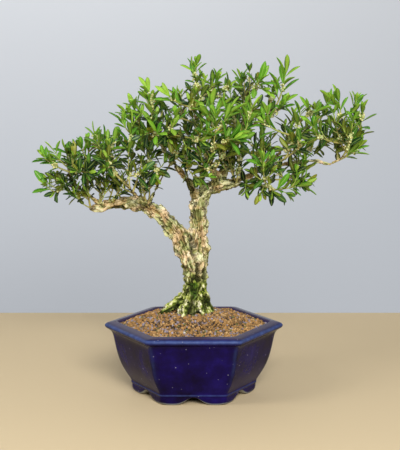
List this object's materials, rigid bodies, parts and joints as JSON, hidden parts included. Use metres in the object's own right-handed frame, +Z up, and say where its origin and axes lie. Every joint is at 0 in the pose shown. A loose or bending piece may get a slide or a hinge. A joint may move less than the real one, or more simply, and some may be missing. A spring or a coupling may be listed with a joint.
{
  "type": "chinese boxwood bonsai",
  "caption": "Old boxwood bonsai: two fused corky stems, a long branch to the left, airy leaf pads, in a glazed hexagonal footed pot of gravelly soil.",
  "frame": {"origin": "middle of the whole object's footprint, on the plane that the pot's feet stand on", "axes": "+Z up; -Y towards the viewer, the tree's front; +X to the right, along the crown's longer side and through two corners of the pot"},
  "size_m": [0.371, 0.1874, 0.3744],
  "materials": {
    "blue_glaze": "glossy cobalt-blue glaze over stoneware, thin and brownish on edges and sides",
    "mesh_plastic": "matte moulded plastic",
    "soil_grains": "dry fired-clay and gravel grains",
    "bark": "corky fissured bark, mossy at its foot",
    "old_foliage": "leathery dark-green leaves, slightly glossy",
    "new_foliage": "fresh yellow-green leaves, slightly glossy"
  },
  "bodies": {
    "root": {"pot": "blue_glaze", "drain_mesh": "mesh_plastic", "soil": "soil_grains", "trunk": "bark", "spray_left_tip": "old_foliage", "spray_left_rise_front": "old_foliage", "spray_left_rise_back": "old_foliage", "spray_left_top": "old_foliage", "spray_left_front": "old_foliage", "spray_left_back": "old_foliage", "spray_left_inner_front": "old_foliage", "spray_left_inner_back": "old_foliage", "spray_left_inner": "old_foliage", "spray_crown_left": "old_foliage", "spray_crown_left_top": "old_foliage", "spray_crown_top_left": "old_foliage", "spray_crown_front_left": "old_foliage", "spray_crown_low_left": "old_foliage", "spray_crown_top": "old_foliage", "spray_crown_low_front": "old_foliage", "spray_crown_front": "old_foliage", "spray_crown_top_back": "old_foliage", "spray_crown_right_top": "old_foliage", "spray_crown_back_right": "old_foliage", "spray_crown_low_right": "old_foliage", "spray_crown_back": "old_foliage", "spray_crown_back_left": "old_foliage", "spray_right_inner_top": "old_foliage", "spray_right_top": "old_foliage", "spray_right_back_top": "old_foliage", "spray_right_top_front": "old_foliage", "spray_right_front": "old_foliage", "spray_right_tip": "old_foliage", "spray_right_tip_back": "old_foliage", "spray_right_back": "old_foliage", "spray_right_low": "old_foliage", "spray_right_low_front": "old_foliage", "new_top": "new_foliage", "new_top_back": "new_foliage", "new_crown_left": "new_foliage", "new_crown_left_front": "new_foliage", "new_crown_far_left": "new_foliage", "new_crown_low_left": "new_foliage", "new_left_top_front": "new_foliage", "new_crown_right": "new_foliage", "new_leader": "new_foliage", "new_front_high": "new_foliage", "new_front_middle": "new_foliage", "new_front_low": "new_foliage", "new_front_right": "new_foliage", "new_side_right": "new_foliage", "new_low_right": "new_foliage", "new_right_top": "new_foliage", "new_right_far": "new_foliage", "new_right_inner": "new_foliage", "new_left_far": "new_foliage", "new_left_rise": "new_foliage", "new_left_top": "new_foliage", "new_right_tip": "new_foliage"}
  },
  "joints": []
}
